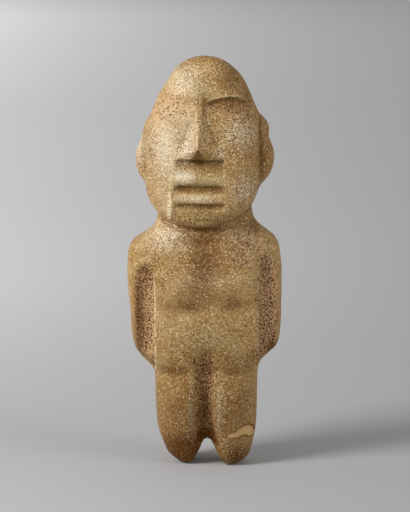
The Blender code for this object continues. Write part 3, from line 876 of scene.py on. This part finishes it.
def keepTinges(mesh):
    spots, ways = pointsOf(mesh), normalsOf(mesh)
    inFront = facing(ways, backTinges["turn"])
    for name, patches in tinges.items():
        amount = np.zeros(len(spots))
        for across, up, halfWidth, halfHeight, strength in patches.values():
            amount = np.maximum(amount, strength * blob(spots, across, up, halfWidth, halfHeight))
        patchy = wavering(spots, backTinges["size"], 1.0, backTinges["seed"] + len(name))
        behind = backTinges["strength"] * smoothStep(patchy, *backTinges["fade"])
        keep(mesh, name, amount * inFront + behind * (1 - inFront))


def carveFigure():
    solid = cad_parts["standing_figure"]
    guide = bpy.data.objects.new("carvingGuide", solid.data.copy())
    bpy.context.scene.collection.objects.link(guide)
    roundedFacets(guide)
    marks = crispEdges(guide)
    piece = bpy.data.objects.new(carving["piece"], guide.data.copy())
    bpy.context.scene.collection.objects.link(piece)
    applied(piece, "REMESH", mode="VOXEL", voxel_size=carving["voxel"] * mm)
    print("fine skin:", len(piece.data.polygons), "faces")
    softened(piece, marks)
    keepHollows(piece.data)
    cutDetailFiner(piece, marks)
    sharpened(piece, guide, marks)
    bpy.data.objects.remove(guide)
    handWorked(piece)
    shiftOutline(piece.data)
    toolLines(piece.data)
    healChip(piece.data)
    peckPits(piece.data)
    keepTinges(piece.data)
    pickOnly(piece)
    bpy.ops.object.shade_smooth()
    piece.data.materials.clear()
    triangles = sum(len(face.vertices) - 2 for face in piece.data.polygons)
    print("carved figure:", triangles, "triangles")
    return piece


# The stone: ochre with pale and brown grains and dark pits. Each kind of grain says how many lie to a
# metre, how far its pattern is moved so that no two kinds fall together, where its rim fades in shares of a
# cell, and from what chance number a grain is picked.
stone = {
    "ochre": (0.38, 0.205, 0.056, 1),
    "brown": (0.14, 0.055, 0.009, 1),
    "cream": (0.92, 0.735, 0.43, 1),
    "white": (0.95, 0.82, 0.60, 1),
    "buff": (0.55, 0.352, 0.140, 1),
    # the brown of stains, dirt and painted shade
    "stainAndShadeBrown": (0.135, 0.044, 0.003, 1),
    "green": (0.32, 0.25, 0.085, 1),
    "pinkish": (0.74, 0.432, 0.225, 1),
    "pit": (0.056, 0.015, 0.003, 1),
    "healed": (0.84, 0.54, 0.245, 1),
    "clouds": {  # scale to a metre, detail and roughness
        "broad": (15, 2.0, 0.5),
        "mottle": (80, 4.0, 0.6),
        "sand": (1000, 2.0, 0.6),
    },
    "grains": {
        "dark": {"count": 900, "moved": (0, 0, 0), "rim": (0.34, 0.66), "pick": (0.42, 0.66)},
        "light": {"count": 800, "moved": (0.19, 0.57, 0.31), "rim": (0.32, 0.62), "pick": (0.54, 0.82)},
        "speck": {"count": 560, "moved": (0, 0, 0), "rim": (0.24, 0.52), "pick": (0.88, 0.96)},
        "pit": {"count": 560, "moved": (0.37, 0.11, 0.73), "rim": (0.16, 0.34), "pick": (0.84, 0.94)},
        "dot": {"count": 560, "moved": (0.71, 0.43, 0.29), "rim": (0.22, 0.46), "pick": (0.76, 0.84)},
    },
    "cover": {  # how much of the ground each one hides at its strongest
        "green": 0.75,
        "frost": 0.28,
        "pale": 0.45,
        "pinkish": 0.85,
        "stain": 0.86,
        "paleMarksAndHighlights": 0.85,
        "dirtAndShade": 0.85,
        "pit": 0.92,
    },
    "fadeIn": {  # from what value to what value each one grows to its full strength
        "buff": (0.48, 0.74),
        "stain": (0.40, 0.92),
        "calm": (0.36, 0.62),
        "brownSand": (0.48, 0.72),
        "paleSand": (0.50, 0.74),
        "paleMarksAndHighlights": (0.34, 0.56),
        "dots": (0.05, 0.30),
        "darkSpot": (0.26, 0.78),
    },
    "roughness": 0.4,
    "shine": 0.13,
    "bump": 0.8,
    "relief": 0.4,
}


def stoneMaterial(values):
    material = bpy.data.materials.new("speckledStone")
    material.use_nodes = True
    Wire.tree = material.node_tree
    Wire.tree.nodes.clear()
    cover, fadeIn, kinds = values["cover"], values["fadeIn"], values["grains"]
    spot = Wire.node("ShaderNodeTexCoord", {}, {}, out="Object")
    pit, rough, tone, hollowDirtAndShade, proud = (kept(n) for n in ("pit", "rough", "roughTone", "hollowDirtAndShade", "proud"))
    frost, stain, green, pale, dotted = (kept(n) for n in ("frost", "stain", "green", "pale", "dotted"))
    healed, healedEdge, paleMarksAndHighlights, dirtAndShade = (kept(n) for n in ("chip", "chipEdge", "paleMarksAndHighlights", "dirtAndShade"))
    grainy = kept("grainy")
    broad, mottle, sand = (cloud(spot, *values["clouds"][n]) for n in ("broad", "mottle", "sand"))

    # the ground: ochre and buff in patches, tinged here and there
    patchy = broad * 0.5 + mottle * 0.7
    ground = tint(between(patchy, *fadeIn["buff"]), values["ochre"], values["buff"])
    ground = tint(green * cover["green"], ground, values["green"])
    # whitish where the stone is frosted, and painted light where pale
    ground = tint(frost * cover["frost"] + pale * cover["pale"], ground, values["white"])
    ground = tint(tone * cover["pinkish"], ground, values["pinkish"])
    # brown stain and painted shade, where the patches put them
    stainedAndShaded = stain * between(patchy + stain * 0.45, *fadeIn["stain"])
    ground = tint(stainedAndShaded * cover["stain"], ground, values["stainAndShadeBrown"])
    # dirt and painted shade in the hollows, in brown, less where the stone is pinkish
    ground = tint(hollowDirtAndShade * (0.40 - tone * 0.30), ground, values["brown"])

    # fine grain all over, calmer under painted light, then round grains, the palest thick where the stone
    # is frosted
    calm = between(broad + pale * 0.25 - frost * 0.2 - grainy * 0.35, *fadeIn["calm"])
    pearl = tint(frost * 0.8 + pale * 0.6, values["cream"], values["white"])
    brownSand = between(1 - sand, *fadeIn["brownSand"])
    ground = tint(brownSand * (0.58 - calm * 0.28), ground, values["brown"])
    paleSand = between(sand, *fadeIn["paleSand"])
    ground = tint(paleSand * (0.30 + frost * 0.30 - stain * 0.15), ground, pearl)
    dark = grains(spot, kinds["dark"])
    ground = tint(dark * (0.90 + frost * 0.1 - calm * 0.50), ground, values["brown"])
    light = grains(spot, kinds["light"], frost * 0.30)
    ground = tint(light * (0.36 + frost * 0.60 + grainy * 0.16) * (1 - stain * 0.5), ground, pearl)
    speck = grains(spot, kinds["speck"], frost * 0.22 - tone * 0.3)
    ground = tint(speck * (0.8 - stain * 0.4), ground, pearl)
    # painted highlight in cream along edges that face the light, and the brow's pale marks
    ground = tint(paleMarksAndHighlights * between(sand, *fadeIn["paleMarksAndHighlights"]) * cover["paleMarksAndHighlights"], ground, values["cream"])
    ground = tint(healed * (0.30 + mottle * 0.55), ground, values["healed"])

    # dark pits, scattered all over and close together where the stone is pecked
    dots = grains(spot, kinds["dot"], dotted * 0.5) * between(dotted, *fadeIn["dots"])
    scattered = grains(spot, kinds["pit"], dotted * 0.2) + dots
    darkSpot = between(pit + scattered * 0.8, *fadeIn["darkSpot"]) * (1 - healed)
    # painted shade in steps, grooves and under ledges, dirt in the crack and ring, and the chip's dark
    # edge, which is partly painted shade
    ground = tint((dirtAndShade + healedEdge) * cover["dirtAndShade"], ground, values["stainAndShadeBrown"])
    ground = tint(darkSpot * cover["pit"], ground, values["pit"])

    height = sand * 0.5 + speck * 0.25 - dark * 0.4 - scattered * 0.9
    relief = {"Strength": values["bump"], "Distance": values["relief"] * mm, "Height": height}
    bump = Wire.node("ShaderNodeBump", {}, relief)
    dullness = rough * 0.25 + darkSpot * 0.2 + sand * 0.2 - proud * 0.06 + values["roughness"]
    shader = Wire.node("ShaderNodeBsdfPrincipled", {}, {
        "Base Color": ground, "Roughness": dullness, "Normal": bump, "Specular IOR Level": values["shine"],
    })
    Wire.node("ShaderNodeOutputMaterial", {}, {"Surface": shader})
    return material


figure = carveFigure()
figure.data.materials.append(stoneMaterial(stone))
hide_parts("standing_figure")
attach(figure, "root")
print("the figure is carved and coloured")


# Floor and light: a wide floor, a broad key close on the left, a weak fill, pale air, and washes that
# brighten the left of the floor behind the figure and look away from it
studio = {
    "floorRadius": 12.0,
    "floorCorners": 96,
    "floorColour": (0.53, 0.53, 0.53, 1),
    "floorRoughness": 0.8,
    "airColour": (0.50, 0.50, 0.50, 1),
    "airStrength": 0.60,
    "lamps": {
        "key": {
            "place": (-0.95, -0.54, 0.80), "aim": (0, 0, 0.22), "size": 0.5, "spread": 180, "power": 13.5,
        },
        "fill": {
            "place": (1.2, -0.7, 0.8), "aim": (0, 0, 0.40), "size": 0.9, "spread": 60, "power": 0.9,
        },
        "nearWash": {
            "place": (-0.9, 0.6, 0.9), "aim": (-0.7, 1.5, 0.5), "size": 0.7, "spread": 180, "power": 15.0,
        },
        "middleWash": {
            "place": (-1.4, 1.7, 1.0), "aim": (-1.1, 2.6, 0.4), "size": 0.7, "spread": 180, "power": 19.0,
        },
        "backWash": {
            "place": (-1.9, 3.2, 1.1), "aim": (-1.4, 4.0, 0.3), "size": 0.8, "spread": 180, "power": 34.0,
        },
        "farWash": {
            "place": (-2.4, 5.0, 1.2), "aim": (-1.8, 5.8, 0.2), "size": 1.0, "spread": 180, "power": 79.0,
        },
    },
}


def layFloor(values):
    size = {"vertices": values["floorCorners"], "radius": values["floorRadius"]}
    bpy.ops.mesh.primitive_circle_add(fill_type="NGON", **size)
    floor = bpy.context.object
    floor.name = "studioFloor"
    material = bpy.data.materials.new("palePaper")
    material.use_nodes = True
    shader = material.node_tree.nodes["Principled BSDF"]
    shader.inputs["Base Color"].default_value = values["floorColour"]
    shader.inputs["Roughness"].default_value = values["floorRoughness"]
    floor.data.materials.append(material)


def hangLamp(name, lamp):
    place = Vector(lamp["place"])
    turn = (Vector(lamp["aim"]) - place).to_track_quat("-Z", "Y").to_euler()
    bpy.ops.object.light_add(type="AREA", location=place, rotation=turn)
    light = bpy.context.object
    light.name = name
    light.data.shape = "DISK"
    light.data.size = lamp["size"]
    light.data.spread = math.radians(lamp["spread"])
    light.data.energy = lamp["power"]
    light.visible_camera = False


def lightStudio(values):
    for name, lamp in values["lamps"].items():
        hangLamp(name, lamp)
    world = bpy.data.worlds.new("studioAir")
    bpy.context.scene.world = world
    world.use_nodes = True
    air = world.node_tree.nodes["Background"]
    air.inputs["Color"].default_value = values["airColour"]
    air.inputs["Strength"].default_value = values["airStrength"]
    bpy.context.scene.view_settings.view_transform = "Standard"


layFloor(studio)
lightStudio(studio)
print("the studio is lit")
